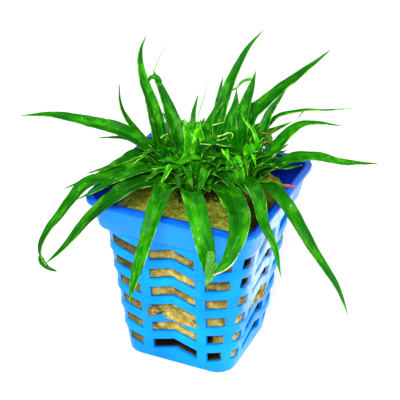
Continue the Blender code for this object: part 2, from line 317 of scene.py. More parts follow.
def leaf_tree():
    """Grid along a spine: width by a rule, folded at the midrib, rippled at the edges."""
    sockets = (("Spine", "Geometry"), ("Half Width", "Float"), ("Roll", "Float"), ("Twist", "Float"),
               ("Blunt", "Float"), ("Level Side", "Vector"), ("Fold", "Float"), ("Ripple", "Float"),
               ("Seed", "Float"), ("Tone", "Float"), ("Lanes", "Int"), ("Steps", "Int"))
    tree, given, exit_node = open_tree("leaf blade", sockets)
    grid = put(tree, "GeometryNodeMeshGrid", 2.0, 1.0, given["Lanes"], given["Steps"])
    spot = put(tree, "ShaderNodeSeparateXYZ", put(tree, "GeometryNodeInputPosition").outputs[0]).outputs
    across = spot[0]
    along = calc(tree, "ADD", spot[1], 0.5)
    sample = put(tree, "GeometryNodeSampleCurve", given["Spine"], mode="FACTOR")
    tree.links.new(along, sample.inputs["Factor"])
    ahead = sample.outputs["Tangent"]
    level = given["Level Side"]
    lean = put(tree, "ShaderNodeVectorMath", level, ahead, operation="DOT_PRODUCT").outputs["Value"]
    side = vector(tree, "NORMALIZE", vector(tree, "SUBTRACT", level, scaled(tree, ahead, lean)))
    roll = calc(tree, "ADD", given["Roll"], calc(tree, "MULTIPLY", given["Twist"], along))
    rolled = put(tree, "ShaderNodeVectorRotate", side, (0, 0, 0), ahead, rotation_type="AXIS_ANGLE")
    tree.links.new(roll, rolled.inputs["Angle"])
    side = rolled.outputs[0]
    face = vector(tree, "CROSS_PRODUCT", ahead, side)

    rise = calc(tree, "MINIMUM", calc(tree, "DIVIDE", along, WIDEST_AT), 1.0)
    swell = calc(tree, "MULTIPLY_ADD", calc(tree, "SINE", calc(tree, "MULTIPLY", rise, pi / 2)),
                 1 - ROOT_SHARE, ROOT_SHARE)
    point = calc(tree, "SUBTRACT", 1.0, calc(tree, "POWER", along, given["Blunt"]))
    share = calc(tree, "MAXIMUM", calc(tree, "MULTIPLY", swell, point), 0.03)
    half = calc(tree, "MULTIPLY", given["Half Width"], share)

    outward = calc(tree, "POWER", calc(tree, "ABSOLUTE", across), 1.35)
    bow = calc(tree, "SINE", calc(tree, "MULTIPLY", along, pi))
    arch = calc(tree, "SQRT", calc(tree, "MAXIMUM", bow, 0.0))
    deep = calc(tree, "MULTIPLY", given["Fold"], half)
    fold = calc(tree, "MULTIPLY", deep, calc(tree, "MULTIPLY", outward, arch))
    wander = put(tree, "ShaderNodeCombineXYZ", calc(tree, "MULTIPLY", across, 0.9),
                 calc(tree, "MULTIPLY", along, 7.0), given["Seed"]).outputs[0]
    wave = put(tree, "ShaderNodeTexNoise", wander, None, 1.0, 2.0).outputs["Fac"]
    swing = calc(tree, "MULTIPLY", calc(tree, "SUBTRACT", wave, 0.5), given["Ripple"])
    ripple = calc(tree, "MULTIPLY", swing, calc(tree, "MULTIPLY", calc(tree, "ABSOLUTE", across), half))
    lift = calc(tree, "ADD", fold, ripple)

    sideways = scaled(tree, side, calc(tree, "MULTIPLY", across, half))
    shift = vector(tree, "ADD", sideways, scaled(tree, face, lift))
    spot = vector(tree, "ADD", sample.outputs["Position"], shift)
    blade = put(tree, "GeometryNodeSetPosition", grid.outputs["Mesh"], None, spot).outputs[0]
    charted = put(tree, "GeometryNodeStoreNamedAttribute", blade, None, "UVMap", grid.outputs["UV Map"],
                  data_type="FLOAT2", domain="CORNER").outputs[0]
    toned = put(tree, "GeometryNodeStoreNamedAttribute", charted, None, "tone", given["Tone"],
                data_type="FLOAT", domain="POINT").outputs[0]
    close_tree(tree, exit_node, toned, LEAF_SKIN)
    return tree


LEAF_TREE = leaf_tree()
print("leaf tree has", len(LEAF_TREE.nodes), "nodes")

# %% [markdown]
# ## Spines of the leaves
#
# Each leaf grows from a crown at a height and a bearing, and its midrib goes through a few points. These are
# the rows that place the frame's blades, so the dressed leaves lie where the plain ones do.

# %% Leaf rows
CROWN_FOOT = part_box("left_crown")[0].z / MM
TIER_HEIGHTS = (3.0, 6.0, 9.0)
TIER_REACH = (5.0, 5.2, 4.2)
CROWNS = {
    name: (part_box(name + "_crown")[0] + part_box(name + "_crown")[1]) / (2 * MM)
    for name in ("left", "middle", "right")
}

# Tier, bearing, width, roll and bluntness in millimetres and degrees, then points on the midrib
LEAVES = {
    "left": (
        (2, 203, 6.0, -20, 2.2, (-27, -1, 71), (-39, -3, 73), (-52, -5, 74), (-61, -7.5, 73)),
        (1, 188, 3.0, 0, 2.2, (-26, 2, 67), (-37, 0, 67)),
        (1, 165, 4.0, 0, 2.2, (-26, 4, 70), (-30.7, 4, 77), (-31.7, 5, 85)),
        (2, 152, 5.0, 0, 2.2, (-22, 9, 78), (-26, 10, 87), (-27, 11, 95), (-25.5, 12, 100)),
        (0, 244, 6.8, 0, 2.2, (-20, -8, 61.5), (-25, -18, 62.5), (-29, -23, 62), (-32, -27, 58),
         (-35.2, -29.5, 53), (-38.8, -31.5, 47.5), (-41, -33, 41), (-40.3, -32, 36), (-38.5, -28, 31)),
        (1, 262, 5.5, 0, 2.2, (-17, -12, 64), (-20.5, -20, 64.3), (-24, -27, 63.5), (-28, -32, 62)),
        (1, 215, 4.0, 0, 2.2, (-22, -4, 64), (-27, -10, 63), (-34, -14, 61)),
        (0, 206, 4.5, 0, 2.2, (-23, -4, 60), (-29, -15, 61.6), (-38, -22, 58.5)),
        (1, 100, 6.0, 0, 2.2, (-14.5, 18, 65), (-17, 31, 62), (-19, 41, 52), (-21, 47, 38)),
        (0, 125, 5.5, 0, 2.2, (-19.5, 16, 63), (-23, 25, 62), (-27, 33.5, 59), (-31, 39, 48),
         (-33.5, 42, 37)),
    ),
    "middle": (
        (2, 155, 6.5, 0, 2.2, (-14, 6, 77), (-18, 8, 84), (-22, 10, 90)),
        (2, 115, 2.5, 0, 2.2, (-6, 6, 78), (-6.4, 11, 84.5)),
        (2, 72, 4.8, 8, 2.2, (1, 11, 76), (1.5, 18, 86), (2.5, 23, 91.5), (4.6, 26, 97), (8, 29, 102)),
        (0, 303, 6.2, 0, 8.0, (2.4, -14, 62.5), (10.4, -29.2, 66), (14.6, -33.2, 60), (17.4, -35, 52),
         (17.8, -34.8, 45.3)),
        (0, 256, 6.6, -3, 2.4, (-5, -16, 63.5), (-2, -28, 65), (-2, -35, 59), (-4, -40, 45), (-6, -41, 36)),
        (1, 215, 7.5, 0, 2.2, (-14, -17, 62.5), (-16.5, -30, 63.5), (-21, -39, 59.3), (-25, -46, 53.5),
         (-30, -49, 48)),
        (1, 322, 8.3, 0, 3.0, (11, -9.5, 62.8), (19.4, -20.2, 64), (24.2, -28.6, 63.7), (24.2, -34.8, 57.5),
         (22.5, -37, 54), (19, -37, 50)),
        (1, 92, 5.5, 0, 2.2, (-3, 12, 66), (-5, 26, 67), (-6, 40, 60), (-7, 48, 44)),
    ),
    "right": (
        (2, 152, 4.0, 0, 2.2, (-1, 17, 70), (-3.6, 21, 75), (-4.6, 27, 84.2)),
        (2, 112, 5.5, 0, 2.2, (7, 16, 76), (8, 21, 86), (8, 24, 90)),
        (2, 74, 6.5, 0, 2.2, (9, 19, 75), (12, 23, 79), (19, 32, 86), (27, 41, 94)),
        (2, 33, 4.8, 0, 2.2, (15, 16.5, 75.2), (15.6, 19, 78.8), (16.9, 21.4, 82), (18.6, 24, 85.5)),
        (1, 55, 2.5, 0, 2.2, (15.8, 20, 75), (22, 27, 76.8), (30, 35, 75.6), (36, 42, 74.6)),
        (1, 18, 6.0, 0, 2.2, (19, 14, 67), (24, 24, 73), (29, 29, 73), (35, 33, 72)),
        (2, 350, 5.0, 0, 2.2, (19, 9, 67), (24, 13, 72)),
        (0, 10, 7.5, 0, 2.2, (21, 12, 63.3), (30, 17, 65.8), (41, 21, 64.9), (51.2, 22, 66.9)),
        (0, 325, 6.0, 0, 2.2, (21, 2, 61.3), (28, -4.3, 61.7), (33.1, -6.2, 57.4), (40.7, -7, 47.4),
         (49.8, -7.8, 37), (54, -7, 27)),
        (1, 292, 5.5, 0, 2.2, (18, -6, 66), (26, -18, 67.5), (31, -26, 64.5), (35, -28, 60), (38.4, -29, 50)),
        (1, 98, 6.0, 0, 2.2, (8, 24, 66), (7, 34, 63.5), (7, 43, 52.5), (7.5, 50, 38)),
    ),
}


def spine(name, points):
    """A smooth curve through points given in millimetres."""
    curve = bpy.data.curves.new(name, "CURVE")
    curve.dimensions = "3D"
    curve.resolution_u = 12
    path = curve.splines.new("BEZIER")
    path.bezier_points.add(len(points) - 1)
    for knot, point in zip(path.bezier_points, points):
        knot.co = Vector(point) * MM
        knot.handle_left_type = knot.handle_right_type = "AUTO"
    return link(name, curve)


def root_point(tuft, tier, bearing):
    """Where a leaf leaves its crown, a little inside the crown's skin, in millimetres."""
    centre = CROWNS[tuft]
    reach = TIER_REACH[tier]
    return Vector((
        centre.x + reach * cos(radians(bearing)),
        centre.y + reach * sin(radians(bearing)),
        CROWN_FOOT + TIER_HEIGHTS[tier],
    ))


def grow_leaf(name, points, width, roll, blunt, tone, seed, lanes=11, steps=56, fold=0.5, twist=0.0):
    """One leaf as a plain mesh: the leaf tree on its own spine."""
    chord = Vector(points[-1]) - Vector(points[0])
    values = {
        "Half Width": width / 2 * MM, "Roll": radians(roll), "Twist": radians(twist), "Blunt": blunt,
        "Level Side": Vector((-chord.y, chord.x, 0)).normalized(), "Fold": fold, "Ripple": 0.5,
        "Seed": seed, "Tone": tone, "Lanes": lanes, "Steps": steps,
    }
    return baked(spine(name, points), LEAF_TREE, values, name, BLADE_THICKNESS)


blades = 0
for tuft, rows in LEAVES.items():
    for number, (tier, bearing, width, roll, blunt, *points) in enumerate(rows, start=1):
        node = f"{tuft}_leaf_{number}"
        seed = blades * 1.37
        tone = 0.35 + 0.3 * noise.noise(Vector((seed, 2.0, 0.0)))
        start = root_point(tuft, tier, bearing)
        blade = grow_leaf(node + "_blade", [start, *points], width, roll, blunt, tone, seed)
        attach(blade, "root")
        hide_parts(node)
        blades += 1
print("grew", blades, "leaves")

# %% [markdown]
# ## Young blades between the leaves
#
# The middle of a pipewort is crowded with short young blades. They are too many and too small to be parts of
# their own, so they are one joined mesh. Those that show are placed by rows like the leaves above. The rest
# follow the rule of a rosette: each next blade turns by the golden angle and leans a little further out.

# %% Rows of young blades
# Tuft, tier, width, tone and bluntness, then points on the midrib in millimetres
YOUNG = (
    ("left", 2, 6, 0.25, 2.2, (-12, 6, 68), (-15, 8, 72), (-18, 9, 76)),
    ("left", 1, 5, 0.35, 2.2, (-17, 3.5, 64), (-21, 4.5, 65), (-25, 4.5, 66.5)),
    ("left", 2, 5, 0.35, 2.2, (-13.5, 1, 65), (-18.5, 1, 65), (-23, 1, 66)),
    ("left", 2, 2.5, 0.3, 2.2, (-18, 2, 71), (-20, 3.5, 76), (-22.5, 5, 82)),
    ("left", 0, 6.5, 0.3, 2.2, (-21, -2, 64), (-24.5, -6, 63.5), (-27.5, -9, 62.5), (-30.5, -12.5, 61.5)),
    ("left", 0, 5.5, 0.25, 2.2, (-19, -5.5, 63), (-24, -10, 62), (-28.5, -15, 59.5), (-32.5, -19, 59)),
    ("left", 1, 1.8, 0.95, 2.0, (-18.5, -2, 65), (-22.5, -7, 62.5), (-25.5, -11.5, 60), (-30.5, -17, 58)),
    ("left", 0, 5, 0.15, 2.2, (-17, -7, 60.5), (-22, -11, 59.5), (-26, -15, 58)),
    ("left", 2, 3.5, 0.7, 2.0, (-7.5, -1, 66.5), (-3.5, -2.5, 66), (0, -3, 65.5)),
    ("middle", 2, 6, 0.25, 2.2, (-1, 4, 71.5), (-3.5, 7.5, 74), (-3.5, 9.5, 77)),
    ("middle", 2, 6, 0.75, 1.6, (-4.5, 2.5, 71), (-7, 5.5, 74), (-7.5, 7.5, 76.5)),
    ("middle", 2, 6.5, 0.85, 1.6, (-5.5, 2, 72.5), (-8, 4.5, 75), (-9, 6, 77)),
    ("middle", 2, 6, 0.8, 1.6, (-2.5, 3, 72.5), (-4, 6, 75), (-4, 8, 77)),
    ("middle", 2, 5, 0.35, 2.2, (-2, 5.5, 71), (-1.5, 11, 76.5), (-1.5, 14.5, 80.5)),
    ("middle", 1, 3.5, 0.85, 2.2, (-6.5, -9, 67), (-7, -12.5, 65.5), (-8, -15, 63.5)),
    ("middle", 1, 3, 0.55, 2.2, (-1.5, -9, 68), (0, -9.5, 64.5), (1.5, -10.5, 61.5)),
    ("middle", 1, 4, 0.4, 2.4, (4, -5, 66.5), (3.5, -8.5, 63), (3, -10.5, 60)),
    ("middle", 2, 6, 0.15, 2.2, (1, 0.5, 71), (5.5, 4.5, 71), (11, 8, 69)),
    ("middle", 0, 7.5, 0.1, 2.6, (7, -3.5, 64.5), (11, -5, 63.5), (14.5, -6, 62)),
    ("middle", 0, 4, 0.3, 2.2, (-9, -8, 64.5), (-13, -12, 63), (-15.5, -15, 61)),
    ("middle", 0, 6, 0.1, 2.4, (-2.5, -8.5, 65.5), (-3, -11, 63), (-4, -12.5, 61)),
    ("right", 2, 5, 0.3, 2.2, (0.5, 10, 75), (1, 13, 80), (1.5, 15, 83)),
    ("right", 2, 5.5, 0.45, 2.0, (4, 13.5, 74), (4, 17, 79.5), (3.5, 19, 84.5)),
    ("right", 1, 5.5, 0.3, 2.2, (8, 15, 73), (8.5, 18, 77), (8.5, 20, 80.5)),
    ("right", 1, 4, 0.25, 2.2, (11, 14.5, 72), (14, 18.5, 74.5), (17, 23.5, 76)),
    ("right", 1, 4.5, 0.4, 2.2, (13.5, 14, 70), (17, 20, 72), (21, 25, 74)),
    ("right", 1, 4.5, 0.6, 2.2, (-2, -1, 67), (-6, -7, 66.5), (-11.5, -13.5, 67.5)),
    ("right", 2, 3, 1.0, 2.0, (6, 3.5, 70), (8, 2, 68.5), (9, 0.5, 66)),
    ("right", 1, 2.2, 0.7, 2.0, (8.5, 1.5, 67.5), (11.5, -0.5, 65.5), (14, -2, 63.5)),
    ("right", 1, 3.4, 0.7, 2.2, (9.5, 3, 68.5), (12.5, 1, 66), (16.5, -3, 61.5)),
    ("right", 2, 3, 0.95, 2.0, (13, 7.5, 71.5), (15, 6, 69), (17, 3.5, 66.5)),
    ("right", 0, 4, 0.6, 2.2, (13, 5.5, 66), (14.5, 9, 68.5), (15.5, 13, 71)),
    ("right", 2, 2.6, 0.8, 1.8, (13, 10, 75.5), (10, 10.5, 78), (8, 12, 80)),
    ("right", 0, 5.5, 0.2, 2.2, (15, 7, 67), (19, 11, 67.5), (23, 15, 68.5)),
    ("right", 0, 5, 0.1, 2.2, (18, 6.5, 65), (24, 11, 64), (28.5, 15, 64.5)),
    ("right", 2, 6, 0.2, 2.2, (1, 7, 69), (-2, 5.5, 69), (-6, 3, 67.5)),
    ("right", 0, 4.5, 0.5, 2.2, (9.5, -0.5, 65), (14, -2, 62.5), (19, -4, 59.5)),
)
GOLDEN_ANGLE = 137.5
ROSETTE_BLADES = 26


def joined(name, pieces):
    """Several mesh objects joined into the first, which takes the name."""
    with bpy.context.temp_override(active_object=pieces[0], selected_editable_objects=pieces):
        bpy.ops.object.join()
    pieces[0].name = name
    pieces[0].data.name = name
    return pieces[0]


def young_rows():
    """The young blades that are placed one by one from the listed rows."""
    grown = []
    for tuft, tier, width, tone, blunt, *points in YOUNG:
        toward = Vector(points[0]) - CROWNS[tuft]
        start = root_point(tuft, tier, degrees(atan2(toward.y, toward.x)))
        seed = 50 + len(grown) * 1.7
        grown.append(grow_leaf("young", [start, *points], width, 0, blunt, tone, seed, 7, 20, 0.6))
    return grown


def rosette(tuft, luck):
    """Short blades round a crown, each turned by the golden angle from the last."""
    grown = []
    for number in range(ROSETTE_BLADES):
        bearing = number * GOLDEN_ANGLE + luck.uniform(-20, 20)
        lean = radians(18 + 50 * number / ROSETTE_BLADES)
        length = luck.uniform(7, 11)
        start = root_point(tuft, number % 3, bearing)
        out = Vector((cos(radians(bearing)), sin(radians(bearing)), 0))
        up = Vector((0, 0, 1))
        bend = start + (out * sin(lean) * 0.35 + up * cos(lean) * 0.6) * length
        tip = start + (out * sin(lean) + up * cos(lean) * 0.85) * length
        width = luck.uniform(3, 6)
        tone = luck.uniform(0.05, 0.5)
        grown.append(grow_leaf("rosette", [start, bend, tip], width, 0, 2.2, tone, number * 3.1, 7, 14))
    return grown


luck = Random(11)
small_blades = young_rows()
for tuft in CROWNS:
    small_blades += rosette(tuft, luck)
young_blades = joined("young_blades", small_blades)
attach(young_blades, "root")
print("young blades:", len(small_blades), "with", len(young_blades.data.polygons), "faces")

# %% [markdown]
# ## Torn and curled ends
#
# A few leaf ends are torn, curled over or folded and pale. Each is a short blade of the same tree that lies
# where its leaf ends, and they are joined in one mesh.

# %% Leaf ends
# Width, roll, tone and bluntness, then points on the midrib in millimetres
LEAF_ENDS = (
    (2.3, 90, 0.45, 2.2, (-18.8, 8.2, 85.1), (-19.8, 7.7, 88.4), (-21.3, 7.1, 88.5), (-22.3, 6.7, 86.2)),
    (2.2, 90, 0.2, 2.2, (-41.6, -32.7, 38.4), (-40.6, -32.2, 35.6), (-38.8, -31.5, 33.7),
     (-36.8, -30.7, 32.7)),
    (2.6, 90, 2.0, 2.6, (18.3, -36.1, 57.7), (18.5, -36, 55.3), (17.9, -36.3, 52.3), (17, -36.7, 49.3)),
    (3.2, 90, 1.8, 3.0, (19.8, -35, 53.3), (19, -35.3, 50.8), (18.1, -35.7, 47.9), (16.9, -36.2, 45.1)),
    (3.2, 90, 0.6, 4.0, (-2.9, -36.7, 57.1), (-3.8, -38.5, 50.8), (-4.7, -40.1, 44), (-5.5, -41.9, 36.8)),
)

ends = []
for number, (width, roll, tone, blunt, *points) in enumerate(LEAF_ENDS):
    ends.append(grow_leaf("leaf end", points, width, roll, blunt, tone, 120 + number, 7, 20, 0.4))
leaf_ends = joined("leaf_ends", ends)
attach(leaf_ends, "root")
print("leaf ends:", len(LEAF_ENDS))

# %% [markdown]
# ## Rooty crowns
#
# Under the blades each tuft sits on a short brown stem with a beard of fine roots. The stem is a lumpy ball
# inside the space of the frame's crown. The roots are one bent hair, copied over its skin by a tree that also
# grows the loose fibres of the wool further down.

# %% Fibre tree
def fibre_tree(name, look):
    """Hairs scattered over a body where its attribute called bare allows, kept with the body."""
    sockets = (("Body", "Geometry"), ("Density", "Float"), ("Length", "Float"), ("Thickness", "Float"),
               ("Lean", "Float"), ("Seed", "Int"))
    tree, given, exit_node = open_tree(name, sockets)
    bare = put(tree, "GeometryNodeInputNamedAttribute", "bare", data_type="FLOAT").outputs["Attribute"]
    scatter = put(tree, "GeometryNodeDistributePointsOnFaces", given["Body"])
    tree.links.new(calc(tree, "MULTIPLY", given["Density"], bare), scatter.inputs["Density"])
    tree.links.new(given["Seed"], scatter.inputs["Seed"])
    hair = put(tree, "GeometryNodeCurveQuadraticBezier", 4, (0, 0, 0), (0, 0, 0.6), (0.5, 0, 1)).outputs[0]
    taper = calc(tree, "SUBTRACT", 1.0, put(tree, "GeometryNodeSplineParameter").outputs["Factor"])
    hair = put(tree, "GeometryNodeSetCurveRadius", hair, None, calc(tree, "ADD", taper, 0.25)).outputs[0]
    slim = calc(tree, "DIVIDE", given["Thickness"], given["Length"])
    ring = put(tree, "GeometryNodeCurvePrimitiveCircle", 3, None, None, None, slim).outputs[0]
    hair = put(tree, "GeometryNodeCurveToMesh", hair, ring).outputs[0]
    lean = given["Lean"]
    least = put(tree, "ShaderNodeCombineXYZ", calc(tree, "MULTIPLY", lean, -1.0),
                calc(tree, "MULTIPLY", lean, -1.0), -pi).outputs[0]
    most = put(tree, "ShaderNodeCombineXYZ", lean, lean, pi).outputs[0]
    spin = put(tree, "FunctionNodeRandomValue", least, most, data_type="FLOAT_VECTOR").outputs[0]
    size = put(tree, "FunctionNodeRandomValue", None, None, 0.5, 1.2, data_type="FLOAT").outputs[1]
    grown = put(tree, "GeometryNodeInstanceOnPoints", scatter.outputs["Points"], None, hair, None, None,
                scatter.outputs["Rotation"], calc(tree, "MULTIPLY", size, given["Length"])).outputs[0]
    grown = put(tree, "GeometryNodeRotateInstances", grown, None, spin).outputs[0]
    both = tree.nodes.new("GeometryNodeJoinGeometry")
    tree.links.new(grown, both.inputs[0])
    tree.links.new(given["Body"], both.inputs[0])
    close_tree(tree, exit_node, both.outputs[0], look)
    return tree


# %% Crown fibre
def crown_matter():
    """Dark brown root fibre with tan threads below, turning to the green of leaf bases above."""
    made, tree, shader, place = blank_material("crown fibre")
    threads = put(tree, "ShaderNodeTexNoise", place, None, 900.0, 4.0, 0.6).outputs["Fac"]
    patches = put(tree, "ShaderNodeTexNoise", place, None, 240.0, 3.0, 0.5).outputs["Fac"]
    brown = ramp(tree, threads, (0.35, (0.008, 0.006, 0.002)), (0.55, (0.04, 0.027, 0.008)),
                 (0.72, (0.2, 0.14, 0.04)))
    tint = ramp(tree, patches, (0.4, (0.6, 0.5, 0.4)), (0.65, (1.0, 1.6, 0.7)))
    brown = blend_colours(tree, 1.0, brown, tint, "MULTIPLY")
    green = ramp(tree, threads, (0.4, (0.002, 0.03, 0.0)), (0.65, (0.01, 0.16, 0.002)))
    bare = put(tree, "ShaderNodeAttribute", attribute_name="bare").outputs["Fac"]
    tree.links.new(blend_colours(tree, bare, green, brown), shader.inputs["Base Color"])
    shader.inputs["Roughness"].default_value = 0.8
    shader.inputs["Specular IOR Level"].default_value = 0.2
    bump = put(tree, "ShaderNodeBump", 0.6, 0.0004)
    tree.links.new(threads, bump.inputs["Height"])
    tree.links.new(bump.outputs[0], shader.inputs["Normal"])
    return made


# %% Crowns
def crown_body(tuft):
    """A lumpy ball as big as the frame's crown, bare below and sheathed in leaf bases above."""
    low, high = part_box(tuft + "_crown")
    centre = (low + high) / 2
    half = (high - low) / 2
    bm = bmesh.new()
    bare = bm.verts.layers.float.new("bare")
    bmesh.ops.create_icosphere(bm, subdivisions=4, radius=1.0)
    for vert in bm.verts:
        lump = 0.92 + 0.12 * noise.noise(vert.co * 2.5 + centre * 900)
        vert[bare] = min(1.0, max(0.0, 0.45 - 1.6 * vert.co.z))
        vert.co = centre + Vector([vert.co[axis] * half[axis] * lump for axis in range(3)])
    mesh = bpy.data.meshes.new(tuft)
    bm.to_mesh(mesh)
    bm.free()
    return link(tuft, mesh)


ROOTS = fibre_tree("crown roots", crown_matter())
for seed, tuft in enumerate(CROWNS):
    values = {"Density": 0.9 / MM ** 2, "Length": 4.5 * MM, "Thickness": 0.16 * MM, "Lean": 1.2, "Seed": seed}
    rooty = baked(crown_body(tuft), ROOTS, values, tuft + "_crown_roots")
    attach(rooty, "root")
    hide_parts(tuft + "_crown")
    print(tuft, "crown has", len(rooty.data.polygons), "faces")

# %% [markdown]
# ## Dry strips and strands
#
# Old leaves dry to orange and straw-coloured strips, and thin pale flower stalks loop through the tuft. Each
# is a curve with a round section whose thickness runs out towards its end.

# %% Strand material
def strand_skin(name, dark, light, gloss):
    """Dry plant matter that varies between two colours."""
    made, tree, shader, place = blank_material(name)
    mottle = put(tree, "ShaderNodeTexNoise", place, None, 420.0, 3.0, 0.55).outputs["Fac"]
    tree.links.new(ramp(tree, mottle, (0.4, dark), (0.62, light)), shader.inputs["Base Color"])
    shader.inputs["Roughness"].default_value = gloss
    shader.inputs["Specular IOR Level"].default_value = 0.1
    bump = put(tree, "ShaderNodeBump", 0.3, 0.0002)
    tree.links.new(mottle, bump.inputs["Height"])
    tree.links.new(bump.outputs[0], shader.inputs["Normal"])
    return made


STALK = strand_skin("pale stalk", (0.22, 0.5, 0.05), (0.6, 0.85, 0.3), 0.4)
STRAW = strand_skin("orange dry leaf", (0.1, 0.03, 0.002), (0.36, 0.12, 0.01), 0.5)
RUST = strand_skin("red dry tip", (0.4, 0.04, 0.003), (0.75, 0.12, 0.01), 0.5)
OCHRE = strand_skin("ochre dry fold", (0.22, 0.2, 0.01), (0.5, 0.42, 0.05), 0.5)
# CREAM colours a pale strand that stands as a painted highlight along a folded leaf edge
CREAM = strand_skin("highlight strand", (0.3, 0.5, 0.15), (0.7, 0.85, 0.5), 0.5)
THREAD = strand_skin("green thread", (0.02, 0.22, 0.005), (0.12, 0.5, 0.02), 0.4)

# Name, skin and thickness, then points in millimetres
STRANDS = (
    ("looped_stalk", STALK, 0.5, (4, 2.5, 75), (6, 2.5, 76), (7.5, 2.5, 77), (9, 2.5, 77), (9, 2.5, 76),
     (8.5, 3, 75)),
    ("short_stalk", STALK, 0.35, (4.5, 1, 74.5), (6, 1, 75), (7.5, 1, 76)),
    ("pale_bar", STALK, 0.35, (0.5, 6.5, 76.5), (2, 7, 77), (4, 7, 78)),
    ("low_bar", STALK, 0.35, (-0.5, -1, 73), (1, -0.5, 73), (3, 0, 73)),
    ("left_bar", STALK, 0.35, (-15.5, 2, 70.5), (-14.5, 2, 71.5), (-13, 2, 72.5)),
    ("left_thread", THREAD, 0.35, (-20.5, 8, 91), (-19, 8.5, 95.5), (-17, 9, 99.5)),
    ("middle_thread", THREAD, 0.35, (-5, 7.5, 78), (-4, 9, 83), (-3, 10.5, 89)),
    ("tip_thread", THREAD, 1.2, (7.5, 21.5, 88), (5, 20, 87), (3.5, 18.5, 85), (1.5, 17.5, 84)),
    ("right_thread", THREAD, 0.5, (23, 31, 76), (22, 30, 74.5), (21.5, 28.5, 73)),
    ("orange_strip", STRAW, 0.5, (15, 13, 74), (17, 13.5, 74), (19, 15.5, 75)),
    ("red_strip", STRAW, 0.5, (16.5, 11, 71.5), (18, 12, 72.5), (19.5, 13.5, 73.5)),
    ("thin_leaf", THREAD, 0.7, (18.5, 5.5, 61), (23, 4, 62), (27.5, 2.5, 63), (30, 2, 63.5)),
    ("dry_tip", RUST, 0.9, (27.5, 2.5, 63), (30, 2, 63.5), (31.5, 2, 63.5)),
    ("brown_stalk", STRAW, 0.4, (1, -5, 66.5), (2, -4.5, 67), (4, -4, 67.5)),
    # A pale strand along the folded edge near a leaf's tip: a painted highlight
    ("highlight_strand", CREAM, 0.7, (20.8, -36.9, 51), (22.7, -36.1, 52.1), (24.3, -35.4, 53.5),
     (25.6, -34.9, 55.5), (26.7, -34.4, 58.3)),
    ("ochre_fold", OCHRE, 1.2, (19.7, -36.4, 50.8), (19.9, -36.3, 50.1), (20.4, -36.1, 50.2)),
)


def strand(name, skin, thickness, points):
    """A round strand through points, thinner towards its end, as a plain mesh."""
    made = spine(name, points)
    made.data.bevel_depth = thickness / 2 * MM
    made.data.bevel_resolution = 2
    made.data.use_fill_caps = True
    knots = made.data.splines[0].bezier_points
    for index, knot in enumerate(knots):
        knot.radius = 1.0 - 0.6 * index / (len(knots) - 1)
    ready = made.evaluated_get(bpy.context.evaluated_depsgraph_get())
    mesh = bpy.data.meshes.new_from_object(ready)
    bpy.data.objects.remove(made)
    bm = bmesh.new()
    bm.from_mesh(mesh)
    bmesh.ops.remove_doubles(bm, verts=bm.verts, dist=0.001 * MM)
    for face in bm.faces:
        face.smooth = True
    bm.to_mesh(mesh)
    bm.free()
    mesh.materials.clear()
    mesh.materials.append(skin)
    return link(name, mesh)


for name, skin, thickness, *points in STRANDS:
    piece = strand(name, skin, thickness, points)
    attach(piece, "root")
print("strands:", len(STRANDS))

# %% [markdown]
# ## The basket
#
# The pot is one moulding of shiny azure plastic. Its shell is the frame's own pot: a copy is welded, its flat
# faces are joined, and a small live bevel rounds every slot and edge, as a mould does.

# %% Pot plastic
LIP_LOW = 58.2 * MM
LIP_HIGH = 59.0 * MM
COLLAR_FOOT = 50.0 * MM
COLLAR_FOOT_HALF = 26.2 * MM
COLLAR_HALF = 27.9 * MM
COLLAR_SLOPE = (COLLAR_HALF - COLLAR_FOOT_HALF) / (LIP_HIGH - COLLAR_FOOT)
COLLAR_AT_ZERO = COLLAR_FOOT_HALF - COLLAR_SLOPE * COLLAR_FOOT
CORNER = 6.0

# A painted highlight on the right wall, pale and streaky, in millimetres: where its middle and its edges lie,
# and how low it comes
HIGHLIGHT_SHIFT = 1.5
HIGHLIGHT_HALF = 8.0
HIGHLIGHT_EDGE = 15.0
HIGHLIGHT_FOOT = 18.0


def collar_depth(tree, spot):
    """How far a place lies inside the collar's outer skin, whose plan is a square with round corners."""
    skin = calc(tree, "MULTIPLY_ADD", spot[2], COLLAR_SLOPE, COLLAR_AT_ZERO)
    straight = calc(tree, "SUBTRACT", skin, CORNER * MM)
    past_x = calc(tree, "SUBTRACT", calc(tree, "ABSOLUTE", spot[0]), straight)
    past_y = calc(tree, "SUBTRACT", calc(tree, "ABSOLUTE", spot[1]), straight)
    corner = put(tree, "ShaderNodeCombineXYZ", calc(tree, "MAXIMUM", past_x, 0.0),
                 calc(tree, "MAXIMUM", past_y, 0.0)).outputs[0]
    beyond = put(tree, "ShaderNodeVectorMath", corner, operation="LENGTH").outputs["Value"]
    within = calc(tree, "MINIMUM", calc(tree, "MAXIMUM", past_x, past_y), 0.0)
    return calc(tree, "SUBTRACT", CORNER * MM, calc(tree, "ADD", beyond, within))


